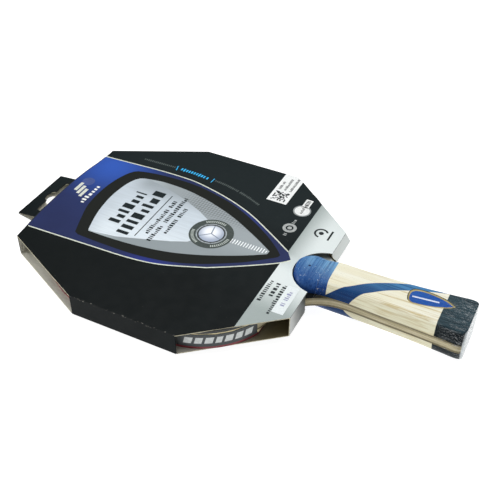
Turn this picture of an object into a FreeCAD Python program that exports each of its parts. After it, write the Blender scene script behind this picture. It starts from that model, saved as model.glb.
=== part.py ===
import FreeCAD, Part
import math
import os

# A table tennis paddle in its octagonal card sleeve, in millimetres.
# It is drawn with x = 0 at the sleeve's header edge, x growing towards the butt of the
# handle, y = 0 on the handle's axis and z = 0 at the sleeve's underside. Every piece is then
# moved so that the origin is the middle of the underside of the whole object's box.

V = FreeCAD.Vector

# Card sleeve
CARD = 0.5                  # thickness of the card
SLEEVE_T = 14.0             # outside thickness of the sleeve
HEADER_HALF = 51.0          # half the length of the header edge
SIDE_HALF = 79.5            # half the width across the closed side walls
FRONT_HALF = 40.2           # half the length of the front edge, at the handle
SIDE_START = 58.5           # where the side walls start, from the header edge
SIDE_END = 125.8            # where they end
FRONT_X = 174.0             # the front edge
ARCH_R = 18.3               # opening for the handle, in both panels
ARCH_X = 176.8
ARCH_Y = 0.4
FLAP_GAP_NEAR = -19.6       # the handle opening in the front wall
BOTTOM_FAR_HALF = 50.5      # the bottom panel's far front corner reaches further out
GLUE_FLAP_H = 11.0          # height of the upstanding glue flaps
# The upper header crease bulges out where the head of the blade fills the sleeve
HEADER_BULGE = [(0.0, -HEADER_HALF), (-1.5, -36.0), (-2.7, -18.0), (-3.1, 4.0), (-2.3, 22.0),
                (-0.6, 37.0), (0.0, HEADER_HALF)]
LID_TOP = SLEEVE_T - CARD   # underside of the top panel
# The far front flap's inner edge, as (y, z), runs on from the arch
FAR_FLAP_INNER = [(28.8, 0.0), (27.4, 1.8), (24.6, 4.6), (22.0, 7.6), (20.0, 10.0),
                  (19.3, 11.6), (18.9, LID_TOP)]

# Hang tab, folded back over itself at its outer edge
TAB_LENGTH = 24.0
TAB_HALF = 22.6
TAB_FLAT = 12.0             # the lower layer lies flat this far out, then rises to the fold
TAB_FOLD_Z = 2.5            # height of the fold's underside
TAB_RETURN_X = -6.5         # free end of the upper layer
TAB_RETURN_Z = 4.7
SLOT_HALF = 16.0            # euro slot, with a round dome on its outer side
SLOT_OUTER = -15.0
SLOT_INNER = -9.5
SLOT_END_R = 2.7
DOME_R = 5.4
DOME_X = -13.0

# Blade
MID_Z = SLEEVE_T / 2        # middle plane of the blade
CORE_T = 2.8
INNER_PLY_T = 0.6
FIBRE_T = 0.3
OUTER_PLY_T = 0.6
BLADE_HALF_T = CORE_T / 2 + INNER_PLY_T + FIBRE_T + OUTER_PLY_T
HEAD_R = 75.2               # round top of the head, and half its width
HEAD_X = 77.0               # centre of that round
SHOULDER_X = 115.0          # where the straight sides end
SHOULDER_R = 47.3
THROAT_R = 34.0             # concave round from the head to the handle
THROAT_HALF = 12.1          # half the handle's width where the throat ends
BUTT_X = 261.5

# Rubbers and edge tape
RUBBER_CUT_X = 158.6        # straight lower edge of both rubbers
SPONGE_T = 2.0
TOPSHEET_T = 1.5
TOPSHEET_PROUD = 0.2
TAPE_T = 0.3
TAPE_LOW = 2.2
TAPE_HIGH = 11.2

# Handle, from its rounded front to the butt: where each point of a scale's outline lies at
# the blade as (x, half width), and where the same point lies at the flat of its crown. The
# lower scale is the rounder one
SCALE_BASE = [
    (158.9, 0.0), (159.5, 5.0), (161.6, 9.8), (164.8, 13.3), (168.6, 14.9), (173.1, 13.9),
    (177.8, 12.9), (182.5, 12.4), (189.0, 12.2), (196.5, 12.1), (205.0, 12.4), (217.0, 13.1),
    (227.0, 13.5), (237.0, 14.0), (246.0, 14.6), (253.0, 15.1), (258.4, 15.5), (260.6, 14.9),
    (BUTT_X, 13.4),
]
TOP_CROWN = [
    (160.8, 0.0), (161.6, 2.4), (163.4, 4.3), (166.0, 5.0), (169.0, 5.0), (173.3, 5.0),
    (178.0, 6.7), (182.5, 8.3), (189.0, 8.6), (196.5, 8.6), (205.0, 8.6), (217.0, 8.9),
    (227.0, 9.3), (237.0, 10.3), (246.0, 11.3), (253.0, 12.2), (258.4, 12.6), (260.6, 12.0),
    (BUTT_X, 10.8),
]
BOTTOM_CROWN = [
    (160.8, 0.0), (161.6, 2.4), (163.4, 4.3), (166.0, 5.0), (169.0, 5.0), (173.3, 5.0),
    (178.0, 6.0), (182.5, 6.8), (189.0, 7.1), (196.5, 7.2), (205.0, 7.2), (217.0, 7.3),
    (227.0, 7.7), (237.0, 8.5), (246.0, 9.3), (253.0, 10.0), (258.4, 10.3), (260.6, 9.8),
    (BUTT_X, 8.8),
]
# The scale's rounded side: (height above the blade, share of the way from base to crown)
SCALE_LEVELS = [(0.0, 0.0), (2.6, 0.12), (4.9, 0.3), (6.6, 0.5), (7.7, 0.72), (8.2, 0.9),
                (8.3, 1.0)]
FILM_CLEAR = 0.08           # shrink film round the handle
FILM_T = 0.25
FILM_START_X = 177.0

# Inlay lines of the scales, seen from above. On the lower scale the swoosh meets the neck
# piece before it reaches the near side
NECK_SEAM = [(181.8, 20.0), (181.9, 8.0), (182.0, 0.0), (182.2, -6.0), (182.6, -10.0),
             (182.9, -20.0)]
SWOOSH_UPPER = [
    (172.0, -16.0), (182.4, -12.3), (187.4, -11.0), (190.6, -9.7), (194.4, -7.2), (200.0, -2.4),
    (210.5, 4.0), (228.0, 10.9), (244.0, 15.0), (262.5, 18.5),
]
SWOOSH_LOWER = [
    (188.0, -16.0), (196.2, -12.3), (199.9, -11.0), (205.5, -7.6), (212.6, -2.0), (221.0, 2.6),
    (234.0, 8.0), (248.0, 12.3), (262.5, 15.6),
]
LOW_SWOOSH_UPPER = [
    (176.0, -10.6), (182.4, -10.0), (187.4, -9.4), (190.6, -8.6), (194.4, -6.6), (200.0, -2.4),
    (210.5, 4.0), (228.0, 10.9), (244.0, 15.0), (262.5, 18.5),
]
LOW_SWOOSH_LOWER = [
    (185.0, -16.0), (193.4, -12.3), (197.4, -11.0), (204.0, -7.6), (212.0, -2.0), (221.0, 2.6),
    (234.0, 8.0), (248.0, 12.3), (262.5, 15.6),
]
BUTT_SEAM_X = 245.4
VENEER_T = 0.6              # light veneer line along both edges of the swoosh
BADGE_DEPTH = 1.0
BADGE_OUTER = [(251.2, 3.3), (245.8, 6.3), (239.9, 7.6), (234.1, 8.1), (229.7, 7.8), (226.7, 6.8),
               (225.1, 4.4), (225.0, 0.6), (225.9, -2.6), (228.0, -4.1), (231.5, -4.0),
               (236.0, -3.3), (241.2, -2.1), (245.7, -0.6), (249.0, 1.2)]
BADGE_INNER = [(249.8, 2.6), (245.6, 4.8), (240.4, 6.1), (235.4, 6.7), (230.7, 6.5), (227.8, 5.5),
               (226.3, 3.4), (226.2, 0.4), (226.9, -2.2), (228.4, -3.4), (231.5, -3.4),
               (236.0, -2.7), (241.0, -1.5), (245.2, 0.1), (247.9, 1.3)]

# Labels stuck on the top panel, as x from, x to, y from, y to
LABEL_T = 0.12
INFO_LABEL = (116.7, 130.3, 49.0, 80.0)
SIZE_STICKER = (162.7, 169.6, -40.4, -17.6)

# The whole object's box, which sets the origin
HALF_HEIGHT = BLADE_HALF_T + SCALE_LEVELS[-1][0] + FILM_CLEAR + FILM_T
END_X = BUTT_X + FILM_CLEAR + FILM_T
ORIGIN = V((END_X - TAB_LENGTH) / 2, 0, MID_Z - HALF_HEIGHT)

made = {}


def keep(name, shape):
    """Name a finished piece and move it into the object's frame."""
    piece = shape.copy()
    piece.translate(ORIGIN * -1)
    made[name] = piece


def box(x0, x1, y0, y1, z0, z1):
    return Part.makeBox(x1 - x0, y1 - y0, z1 - z0, V(x0, y0, z0))


def prism(wire, z0, z1):
    """A closed wire drawn at z = 0, raised from z0 to z1."""
    face = Part.Face(wire)
    face.translate(V(0, 0, z0))
    return face.extrude(V(0, 0, z1 - z0))


def polygon(points):
    return Part.makePolygon([V(x, y, 0) for x, y in points + points[:1]])


def spline(points):
    curve = Part.BSplineCurve()
    curve.interpolate([V(x, y, 0) for x, y in points])
    return curve.toShape()


def line(a, b):
    return Part.LineSegment(V(a[0], a[1], 0), V(b[0], b[1], 0)).toShape()


def shifted(points, step):
    """An open line moved sideways, to its left, by step."""
    moved = []
    for i, (x, y) in enumerate(points):
        ax, ay = points[max(i - 1, 0)]
        bx, by = points[min(i + 1, len(points) - 1)]
        length = math.hypot(bx - ax, by - ay)
        moved.append((x - step * (by - ay) / length, y + step * (bx - ax) / length))
    return moved


# ---- Card sleeve ----

def octagon(far_half=FRONT_HALF):
    """A panel's outline from its near header corner round to its far one."""
    return [(0, -HEADER_HALF), (SIDE_START, -SIDE_HALF), (SIDE_END, -SIDE_HALF),
            (FRONT_X, -FRONT_HALF), (FRONT_X, far_half), (SIDE_END, SIDE_HALF),
            (SIDE_START, SIDE_HALF), (0, HEADER_HALF)]


def bulged_octagon():
    """The octagon with its header edge drawn out along the bulge."""
    corners = octagon()
    sides = [line(a, b) for a, b in zip(corners, corners[1:])]
    return closed(sides + [spline(HEADER_BULGE)])


def arch(z0):
    """A cutter for the handle's opening in a panel."""
    return Part.makeCylinder(ARCH_R, 3 * CARD, V(ARCH_X, ARCH_Y, z0 - CARD))


def header_wall():
    """The header wall, straight along its lower crease and bulged along its upper one."""
    straight = [(0.0, y) for x, y in HEADER_BULGE]
    rings = []
    for points, z in ((straight, CARD), (HEADER_BULGE, LID_TOP)):
        inner = [(x + CARD, y) for x, y in points]
        ring = closed([spline(points), line(points[-1], inner[-1]), spline(inner),
                       line(inner[0], points[0])])
        ring.translate(V(0, 0, z))
        rings.append(ring)
    return Part.makeLoft(rings, True, True)


def sleeve():
    bottom = prism(polygon(octagon(BOTTOM_FAR_HALF)), 0, CARD).cut(arch(0))
    keep("bottom_panel",
         bottom.common(box(0, FRONT_X - CARD, -SIDE_HALF + CARD, SIDE_HALF, 0, CARD)))
    keep("top_panel", prism(bulged_octagon(), LID_TOP, SLEEVE_T).cut(arch(LID_TOP)))
    keep("far_side_wall",
         box(SIDE_START, SIDE_END, SIDE_HALF - CARD, SIDE_HALF, CARD, LID_TOP))
    keep("near_side_wall",
         box(SIDE_START, SIDE_END, -SIDE_HALF, -SIDE_HALF + CARD, 0, LID_TOP))
    keep("header_wall", header_wall())
    side_flap = [(SIDE_START + 1, CARD), (SIDE_END - 1, CARD),
                 (SIDE_END - 6, GLUE_FLAP_H), (SIDE_START + 6, GLUE_FLAP_H)]
    keep("side_glue_flap", upright(side_flap, "xz", -SIDE_HALF + CARD))
    header_flap = [(-HEADER_HALF + 1, CARD), (HEADER_HALF - 1, CARD),
                   (HEADER_HALF - 6, GLUE_FLAP_H), (-HEADER_HALF + 6, GLUE_FLAP_H)]
    keep("header_glue_flap", upright(header_flap, "yz", CARD))
    keep("near_front_flap",
         box(FRONT_X - CARD, FRONT_X, -FRONT_HALF, FLAP_GAP_NEAR, 0, LID_TOP))
    far_flap = FAR_FLAP_INNER + [(FRONT_HALF, LID_TOP), (BOTTOM_FAR_HALF, 0.0)]
    keep("far_front_flap", upright(far_flap, "yz", FRONT_X - CARD))


def upright(outline, plane, at):
    """A card flap standing up, drawn in the xz or the yz plane and one card thick."""
    if plane == "xz":
        points = [V(a, at, b) for a, b in outline]
        out = V(0, CARD, 0)
    else:
        points = [V(at, a, b) for a, b in outline]
        out = V(CARD, 0, 0)
    return Part.Face(Part.makePolygon(points + points[:1])).extrude(out)


def side_profile(points, half):
    """A strip of card bent to a profile in x and z, from -half to +half in y."""
    ring = [V(x, -half, z) for x, z in points]
    face = Part.Face(Part.makePolygon(ring + ring[:1]))
    return face.extrude(V(0, 2 * half, 0))


def euro_slot():
    """The hang slot with its dome, as a cutter through both layers."""
    z0 = -5.0
    depth = 20.0
    mid = (SLOT_OUTER + SLOT_INNER) / 2
    bar = box(SLOT_OUTER, SLOT_INNER, -SLOT_HALF + SLOT_END_R, SLOT_HALF - SLOT_END_R,
              z0, z0 + depth)
    ends = [Part.makeCylinder(SLOT_END_R, depth, V(mid, side * (SLOT_HALF - SLOT_END_R), z0))
            for side in (-1, 1)]
    dome = Part.makeCylinder(DOME_R, depth, V(DOME_X, 0, z0))
    dome = dome.common(box(DOME_X - 2 * DOME_R, SLOT_INNER - 1, -DOME_R, DOME_R, z0, z0 + depth))
    return bar.fuse(ends + [dome]).removeSplitter()


def hang_tab():
    fold = -TAB_LENGTH
    lower = [(0, 0), (-TAB_FLAT, 0), (fold, TAB_FOLD_Z), (fold, TAB_FOLD_Z + CARD),
             (-TAB_FLAT, CARD), (0, CARD)]
    upper = [(fold, TAB_FOLD_Z + CARD), (TAB_RETURN_X, TAB_RETURN_Z),
             (TAB_RETURN_X, TAB_RETURN_Z + CARD), (fold, TAB_FOLD_Z + 2 * CARD)]
    slot = euro_slot()
    keep("tab_lower_layer", side_profile(lower, TAB_HALF).cut(slot))
    keep("tab_upper_layer", side_profile(upper, TAB_HALF - 0.3).cut(slot))


def label(spec):
    """A label on the top panel, trimmed to the panel's edge."""
    low, high = SLEEVE_T, SLEEVE_T + LABEL_T
    return box(*spec, low, high).common(prism(polygon(octagon()), low, high))


# ---- Blade, rubbers and tape ----

def head_edges(grow, cut_x=None):
    """The head's outline on the far side, from its top, grown by grow.

    It ends at the straight cut of the rubbers, or runs on through the throat to the handle.
    """
    r_head = HEAD_R + grow
    r_shoulder = SHOULDER_R + grow
    shoulder_y = HEAD_R - SHOULDER_R
    half = math.sqrt(0.5)
    top = Part.Arc(V(HEAD_X - r_head, 0, 0), V(HEAD_X - r_head * half, r_head * half, 0),
                   V(HEAD_X, r_head, 0)).toShape()
    side = line((HEAD_X, r_head), (SHOULDER_X, r_head))

    def on_shoulder(angle):
        return V(SHOULDER_X + r_shoulder * math.sin(angle),
                 shoulder_y + r_shoulder * math.cos(angle), 0)

    if cut_x is not None:
        last = math.asin((cut_x - SHOULDER_X) / r_shoulder)
        end = on_shoulder(last)
        shoulder = Part.Arc(on_shoulder(0), on_shoulder(last / 2), end).toShape()
        return [top, side, shoulder], end
    r_throat = THROAT_R - grow
    throat_y = THROAT_HALF + THROAT_R
    reach = SHOULDER_R + THROAT_R
    throat_x = SHOULDER_X + math.sqrt(reach ** 2 - (throat_y - shoulder_y) ** 2)
    last = math.atan2(throat_x - SHOULDER_X, throat_y - shoulder_y)
    shoulder = Part.Arc(on_shoulder(0), on_shoulder(last / 2), on_shoulder(last)).toShape()
    middle = math.pi + last / 2
    throat_mid = V(throat_x + r_throat * math.sin(middle), throat_y + r_throat * math.cos(middle), 0)
    throat_end = V(throat_x, throat_y - r_throat, 0)
    throat = Part.Arc(on_shoulder(last), throat_mid, throat_end).toShape()
    return [top, side, shoulder, throat], throat_end


def mirrored(edges):
    return [edge.mirror(V(0, 0, 0), V(0, 1, 0)) for edge in edges]


def closed(edges):
    return Part.Wire(Part.__sortEdges__(edges))


def blade_layer(z0, z1, grow=0.0, rise=0.0):
    """One ply of the blade: the tongue inside the handle, and the head, thicker by rise each way."""
    far, throat_end = head_edges(grow)
    across = line((throat_end.x, throat_end.y), (throat_end.x, -throat_end.y))
    head = prism(closed(far + mirrored(far) + [across]), z0 - rise, z1 + rise)
    tongue = prism(handle_wire(TOP_CROWN, 0, 0.0, grow), z0, z1)
    return head.fuse(tongue).removeSplitter()


def rubber_outline(grow):
    far, end = head_edges(grow, RUBBER_CUT_X)
    return closed(far + mirrored(far) + [line((end.x, end.y), (end.x, -end.y))])


def blade():
    z = MID_Z + CORE_T / 2
    keep("blade_core", blade_layer(MID_Z - CORE_T / 2, z))
    for name, thickness in (("inner_ply", INNER_PLY_T), ("fibre_layer", FIBRE_T),
                            ("outer_ply", OUTER_PLY_T)):
        keep("top_" + name, blade_layer(z, z + thickness))
        keep("bottom_" + name, blade_layer(2 * MID_Z - z - thickness, 2 * MID_Z - z))
        z += thickness


def rubbers():
    sponge = rubber_outline(0.0)
    sheet = rubber_outline(TOPSHEET_PROUD)
    z = MID_Z + BLADE_HALF_T
    low = 2 * MID_Z - z
    keep("top_sponge", prism(sponge, z, z + SPONGE_T))
    keep("bottom_sponge", prism(sponge, low - SPONGE_T, low))
    keep("black_topsheet", prism(sheet, z + SPONGE_T, z + SPONGE_T + TOPSHEET_T))
    keep("red_topsheet", prism(sheet, low - SPONGE_T - TOPSHEET_T, low - SPONGE_T))


def edge_tape():
    outer = prism(rubber_outline(TAPE_T), TAPE_LOW, TAPE_HIGH)
    inner = prism(rubber_outline(0.0), TAPE_LOW - 1, TAPE_HIGH + 1)
    strip = outer.cut(inner)
    keep("edge_tape", strip.common(box(-5, RUBBER_CUT_X - 0.4, -90, 90, 0, SLEEVE_T)))


# ---- Handle ----

def handle_wire(crown, z, share, grow):
    """The handle's outline at one height, share of the way from base to crown, grown by grow."""
    drawn = [(bx + share * (cx - bx), by + share * (cy - by))
             for (bx, by), (cx, cy) in zip(SCALE_BASE, crown)]
    points = [(drawn[0][0] - grow, 0.0)]
    for (ax, ay), (x, y), (bx, by) in zip(drawn, drawn[1:], drawn[2:]):
        length = math.hypot(bx - ax, by - ay)
        points.append((x - grow * (by - ay) / length, y + grow * (bx - ax) / length))
    points.append((drawn[-1][0] + grow, drawn[-1][1]))
    near = [(x, -y) for x, y in reversed(points[1:])]
    wire = Part.Wire([spline(near + points), line(points[-1], near[0])])
    wire.translate(V(0, 0, z))
    return wire


def scale_block(crown, grow=0.0):
    """A scale as one block, lying face up from the blade's face to its crown."""
    base = MID_Z + BLADE_HALF_T
    stretch = 1 + grow / SCALE_LEVELS[-1][0]
    wires = [handle_wire(crown, base + height * stretch, share, grow)
             for height, share in SCALE_LEVELS]
    return Part.makeLoft(wires, True, False)


def envelope(grow):
    """The handle and the blade's throat, grown all round."""
    base = MID_Z + BLADE_HALF_T
    upper = scale_block(TOP_CROWN, grow)
    lower = scale_block(BOTTOM_CROWN, grow).mirror(V(0, 0, MID_Z), V(0, 0, 1))
    middle = blade_layer(2 * MID_Z - base, base, grow, grow)
    return upper.fuse([middle, lower])


def region(lower_line, upper_line):
    """A cutter between two lines that both run from the neck towards the butt."""
    edges = [spline(lower_line), line(lower_line[-1], upper_line[-1]),
             spline(upper_line), line(upper_line[0], lower_line[0])]
    return prism(closed(edges), 0, 40)


def half_plane(seam, x_edge):
    """A cutter from a seam across the handle to a far plane at x_edge."""
    edges = [spline(seam), line(seam[-1], (x_edge, seam[-1][1])),
             line((x_edge, seam[-1][1]), (x_edge, seam[0][1])), line((x_edge, seam[0][1]), seam[0])]
    return prism(closed(edges), 0, 40)


def badge_cutter(points, floor_z):
    """The badge's teardrop: a smooth outline that comes to a point at its first point."""
    curve = spline(points + points[:1])
    return prism(Part.Wire([curve]), floor_z, floor_z + 10)


def scale_pieces(block, lower_line, upper_line):
    """Cut one scale block into its inlaid pieces, with the swoosh between the two lines."""
    behind_neck = half_plane(NECK_SEAM, 300)
    neck = block.cut(behind_neck)
    grip = block.common(behind_neck)
    butt = grip.common(box(BUTT_SEAM_X, 300, -30, 30, 0, 40))
    wood = grip.cut(box(BUTT_SEAM_X, 300, -30, 30, 0, 40))
    upper_outside = shifted(upper_line, VENEER_T)
    lower_outside = shifted(lower_line, -VENEER_T)
    far_side = [(x, y + 60) for x, y in upper_outside]
    near_side = [(x, y - 60) for x, y in lower_outside]
    fore = wood.common(region(upper_outside, far_side))
    swoosh = wood.common(region(lower_line, upper_line))
    main_block = wood.common(region(near_side, lower_outside))
    veneer = wood.cut(fore.fuse([swoosh, main_block]))
    return {"neck_block": neck, "fore_block": fore, "swoosh": swoosh, "main_block": main_block,
            "veneer_lines": Part.makeCompound(veneer.Solids), "butt_block": butt}


def handle():
    block = scale_block(TOP_CROWN)
    floor_z = MID_Z + HALF_HEIGHT - FILM_CLEAR - FILM_T - BADGE_DEPTH
    pocket = badge_cutter(BADGE_OUTER, floor_z)
    insert = badge_cutter(BADGE_INNER, floor_z)
    for name, piece in scale_pieces(block, SWOOSH_LOWER, SWOOSH_UPPER).items():
        keep("top_scale_" + name, piece.cut(pocket))
    low_block = scale_block(BOTTOM_CROWN)
    for name, piece in scale_pieces(low_block, LOW_SWOOSH_LOWER, LOW_SWOOSH_UPPER).items():
        keep("bottom_scale_" + name, piece.mirror(V(0, 0, MID_Z), V(0, 0, 1)))
    badge = block.common(pocket)
    keep("badge_insert", badge.common(insert))
    keep("badge_rim", badge.cut(insert))


def film():
    skin = envelope(FILM_CLEAR + FILM_T).cut(envelope(FILM_CLEAR))
    keep("handle_film", skin.common(box(FILM_START_X, 300, -40, 40, -40, 40)))


def main():
    sleeve()
    hang_tab()
    keep("info_label", label(INFO_LABEL))
    keep("size_sticker", label(SIZE_STICKER))
    blade()
    rubbers()
    edge_tape()
    handle()
    film()
    os.makedirs("parts", exist_ok=True)
    for name, shape in made.items():
        valid = shape.isValid()
        print(f"{name:28s} solids {len(shape.Solids)} volume {shape.Volume:10.2f} valid {valid}")
        shape.exportStep(f"parts/{name}.step")
    whole = Part.makeCompound(list(made.values())).BoundBox
    print(len(made), "nodes, box", [round(v, 3) for v in (
        whole.XMin, whole.XMax, whole.YMin, whole.YMax, whole.ZMin, whole.ZMax)])


main()
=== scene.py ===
import math
import random

import bpy
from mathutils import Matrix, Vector


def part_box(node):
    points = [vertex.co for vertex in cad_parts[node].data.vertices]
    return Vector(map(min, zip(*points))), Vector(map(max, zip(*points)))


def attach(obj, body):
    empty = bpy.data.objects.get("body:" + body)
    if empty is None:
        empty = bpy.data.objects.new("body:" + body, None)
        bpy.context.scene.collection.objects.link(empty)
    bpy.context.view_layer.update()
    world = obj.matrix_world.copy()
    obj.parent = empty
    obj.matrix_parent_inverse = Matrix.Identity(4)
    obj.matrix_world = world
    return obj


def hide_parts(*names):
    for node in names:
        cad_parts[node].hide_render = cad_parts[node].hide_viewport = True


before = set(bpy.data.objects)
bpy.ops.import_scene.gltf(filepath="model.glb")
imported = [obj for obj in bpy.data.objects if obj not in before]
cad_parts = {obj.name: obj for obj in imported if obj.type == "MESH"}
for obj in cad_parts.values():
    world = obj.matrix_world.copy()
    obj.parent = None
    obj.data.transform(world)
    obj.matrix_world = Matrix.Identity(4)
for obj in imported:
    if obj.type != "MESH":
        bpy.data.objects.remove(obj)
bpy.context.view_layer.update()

# A packed table tennis paddle. Sizes are in millimetres: x from the sleeve's header edge
# towards the butt, y from the handle's axis, z above the sleeve's printed face.
MM = 0.001
HEADER_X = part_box("bottom_panel")[0].x
FACE_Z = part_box("top_panel")[1].z
CROWN = (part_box("badge_insert")[1].z - FACE_Z) / MM
random.seed(7)


def at(x, y, z=0.0):
    """A point of this file's millimetres in the frame's metres."""
    return Vector((HEADER_X + x * MM, y * MM, FACE_Z + z * MM))


# ---- Materials ----

def linear(code):
    """A colour code such as 1c2222 as linear red, green, blue and alpha."""
    values = [int(code[i:i + 2], 16) / 255 for i in (0, 2, 4)]
    return [v / 12.92 if v <= 0.04045 else ((v + 0.055) / 1.055) ** 2.4 for v in values] + [1.0]


class Surface:
    """A node material that grows out of the Principled shader."""

    def __init__(self, name, **constants):
        self.material = bpy.data.materials.new(name)
        self.material.use_nodes = True
        self.tree = self.material.node_tree
        self.shader = self.tree.nodes["Principled BSDF"]
        for key, value in constants.items():
            self.shader.inputs[key.replace("_", " ")].default_value = value
        self.coords = self.tree.nodes.new("ShaderNodeTexCoord")
        self.point = self.coords.outputs["Object"]
        self.facing = self.coords.outputs["Normal"]

    def feed(self, socket, value):
        if isinstance(value, bpy.types.NodeSocket):
            self.tree.links.new(value, socket)
        elif isinstance(value, str):
            socket.default_value = linear(value)
        else:
            socket.default_value = value

    def set(self, name, value):
        self.feed(self.shader.inputs[name], value)

    def math(self, operation, a, b=0.0, clamp=False):
        n = self.tree.nodes.new("ShaderNodeMath")
        n.operation = operation
        n.use_clamp = clamp
        self.feed(n.inputs[0], a)
        self.feed(n.inputs[1], b)
        return n.outputs[0]

    def axis(self, vector, name):
        n = self.tree.nodes.new("ShaderNodeSeparateXYZ")
        self.feed(n.inputs[0], vector)
        return n.outputs[name]

    def stretch(self, scale, rotation=(0, 0, 0), vector=None):
        n = self.tree.nodes.new("ShaderNodeMapping")
        self.feed(n.inputs["Vector"], vector or self.point)
        n.inputs["Scale"].default_value = scale
        n.inputs["Rotation"].default_value = rotation
        return n.outputs[0]

    def noise(self, vector, scale, detail=3.0, rough=0.55, distort=0.0):
        n = self.tree.nodes.new("ShaderNodeTexNoise")
        self.feed(n.inputs["Vector"], vector)
        n.inputs["Scale"].default_value = scale
        n.inputs["Detail"].default_value = detail
        n.inputs["Roughness"].default_value = rough
        n.inputs["Distortion"].default_value = distort
        return n.outputs["Fac"]

    def span(self, value, low, high, to_low=0.0, to_high=1.0):
        """value from low..high to to_low..to_high, held at both ends."""
        n = self.tree.nodes.new("ShaderNodeMapRange")
        n.interpolation_type = "SMOOTHSTEP"
        for i, v in enumerate((value, low, high, to_low, to_high)):
            self.feed(n.inputs[i], v)
        return n.outputs[0]

    def mix(self, share, a, b):
        n = self.tree.nodes.new("ShaderNodeMix")
        n.data_type = "RGBA"
        self.feed(n.inputs[0], share)
        self.feed(n.inputs[6], a)
        self.feed(n.inputs[7], b)
        return n.outputs[2]

    def bump(self, height, distance, strength=0.6):
        n = self.tree.nodes.new("ShaderNodeBump")
        n.inputs["Distance"].default_value = distance
        n.inputs["Strength"].default_value = strength
        self.feed(n.inputs["Height"], height)
        self.set("Normal", n.outputs[0])

    def print_finish(self, low, high, scale=500):
        """The sheen and the light tooth of printed card."""
        self.set("Roughness", self.span(self.noise(self.point, scale), 0.3, 0.7, low, high))
        self.bump(self.noise(self.point, 700), 0.00002)

    def along(self, name, start, end):
        """0 at start and 1 at end, in this file's millimetres along one axis."""
        i = "XYZ".index(name)
        return self.span(self.axis(self.point, name), at(*[start] * 3)[i], at(*[end] * 3)[i])


BLACK_INK, BLACK_SHEEN_AND_CLOUD = "050c0d", "172022"
SILVER_PAINTED_SHADE, SILVER_PAINTED_LIT = "949f9d", "d9e1e0"
BOARD, BOARD_EDGE = "d3d1c6", "d9d3b8"


def silver_with_painted_light(s):
    """The silver print with painted light: painted shade beside the black and at the near lower
    corner, and a painted glow in a soft diagonal band.
    """
    # painted glow: a soft diagonal band of reflected light, dimmed as painted shade beside the black
    # border
    slant = s.axis(s.stretch((1, 1, 1), (0, 0, math.radians(-18))), "Y")
    painted_glow = s.span(slant, -0.055, 0.004)
    painted_glow_fade = s.span(slant, 0.016, 0.062)
    painted_shade = s.math("MULTIPLY", painted_glow, s.math("SUBTRACT", 1.0, s.math("MULTIPLY", painted_glow_fade, 0.45)))
    painted_shade = s.math("MULTIPLY", painted_shade, s.along("X", 146, 166))
    # painted shade on the near half: darkest at the lower corner, a little darker again towards the
    # arch
    near = s.math("SUBTRACT", s.along("Y", -44, -14), s.math("MULTIPLY", s.along("Y", -10, 2), 0.3))
    painted_shade = s.mix(s.along("Y", 2, 9), near, painted_shade)
    fine = s.span(s.noise(s.point, 2600), 0.3, 0.7, -0.06, 0.06)
    return s.mix(s.math("ADD", painted_shade, fine, clamp=True), SILVER_PAINTED_SHADE, SILVER_PAINTED_LIT)


def card(name, outward, silver=""):
    """Printed card: ink on its outer side, grey board inside, cream where it is cut. The board inside
    darkens towards the front as painted shade, and the black ink lightens towards the far side as a
    painted reflection.

    outward is the way the printed side faces, and silver says which front flap it is, if any. The near
    flap's silver fades into a painted shadow towards the handle, and the far flap takes the silver's
    painted light.
    """
    s = Surface(name, IOR=1.45)
    fibre = s.noise(s.point, 900, 5)
    flecks = s.noise(s.stretch((260, 900, 900), (0, 0, 0.5)), 1.0, 4)
    tint = s.span(flecks, 0.35, 0.7)
    # painted shade: the board inside darkens to brown towards the front
    inner = s.mix(s.along("X", 136, 168), s.mix(tint, "c9c7bc", BOARD), "857c60")
    cut = s.mix(s.span(s.noise(s.point, 420), 0.35, 0.65), "b9b39a", BOARD_EDGE)
    if silver == "near":
        # painted shadow: the near flap's silver turns dark towards the handle
        shown = s.mix(s.along("Y", -48, -22), "e6e9e8", "464c49")
    elif silver:
        shown = silver_with_painted_light(s)
    else:
        # painted reflection: the black lightens towards the far side, broken up by random clouds
        cloud = s.span(s.noise(s.point, 22, 2), 0.3, 0.75, -0.15, 0.15)
        lift = s.math("ADD", s.along("Y", -60, 70), cloud, clamp=True)
        shown = s.mix(lift, BLACK_INK, BLACK_SHEEN_AND_CLOUD)
    axis = "XYZ"[[abs(v) for v in outward].index(1)]
    sign = sum(outward)
    towards = s.math("MULTIPLY", s.axis(s.facing, axis), float(sign))
    printed = s.math("GREATER_THAN", towards, 0.5)
    inward = s.math("LESS_THAN", towards, -0.5)
    for other, limit in (("X", 0.8), ("Y", 0.95)):
        if other != axis and not silver:
            creased = s.math("GREATER_THAN", s.math("ABSOLUTE", s.axis(s.facing, other)), limit)
            printed = s.math("MAXIMUM", printed, creased)
    rubbed = s.span(s.noise(s.point, 640, 6, 0.7), 0.66, 0.72)
    crease = s.math("MAXIMUM", s.along("Y", -78.7, -79.4), s.along("Y", 78.7, 79.4))
    crease = s.math("MULTIPLY", crease, s.along("Z", -1.3, -0.2))
    chips = s.math("MULTIPLY", crease, s.span(s.noise(s.point, 900, 5, 0.7), 0.56, 0.66))
    worn = s.math("ADD", s.math("MULTIPLY", rubbed, 0.05), s.math("MULTIPLY", chips, 0.4), clamp=True)
    s.set("Base Color", s.mix(printed, s.mix(inward, cut, inner), s.mix(worn, shown, BOARD)))
    gloss = s.span(s.noise(s.point, 180), 0.3, 0.7, 0.34, 0.46)
    s.set("Roughness", s.mix(printed, (0.9, 0.9, 0.9, 1), gloss))
    s.shader.inputs["Specular IOR Level"].default_value = 0.3 if silver else 0.08
    s.bump(s.math("ADD", s.math("MULTIPLY", fibre, 0.5), s.noise(s.point, 60, 2)), 0.00006)
    return s.material


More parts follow.
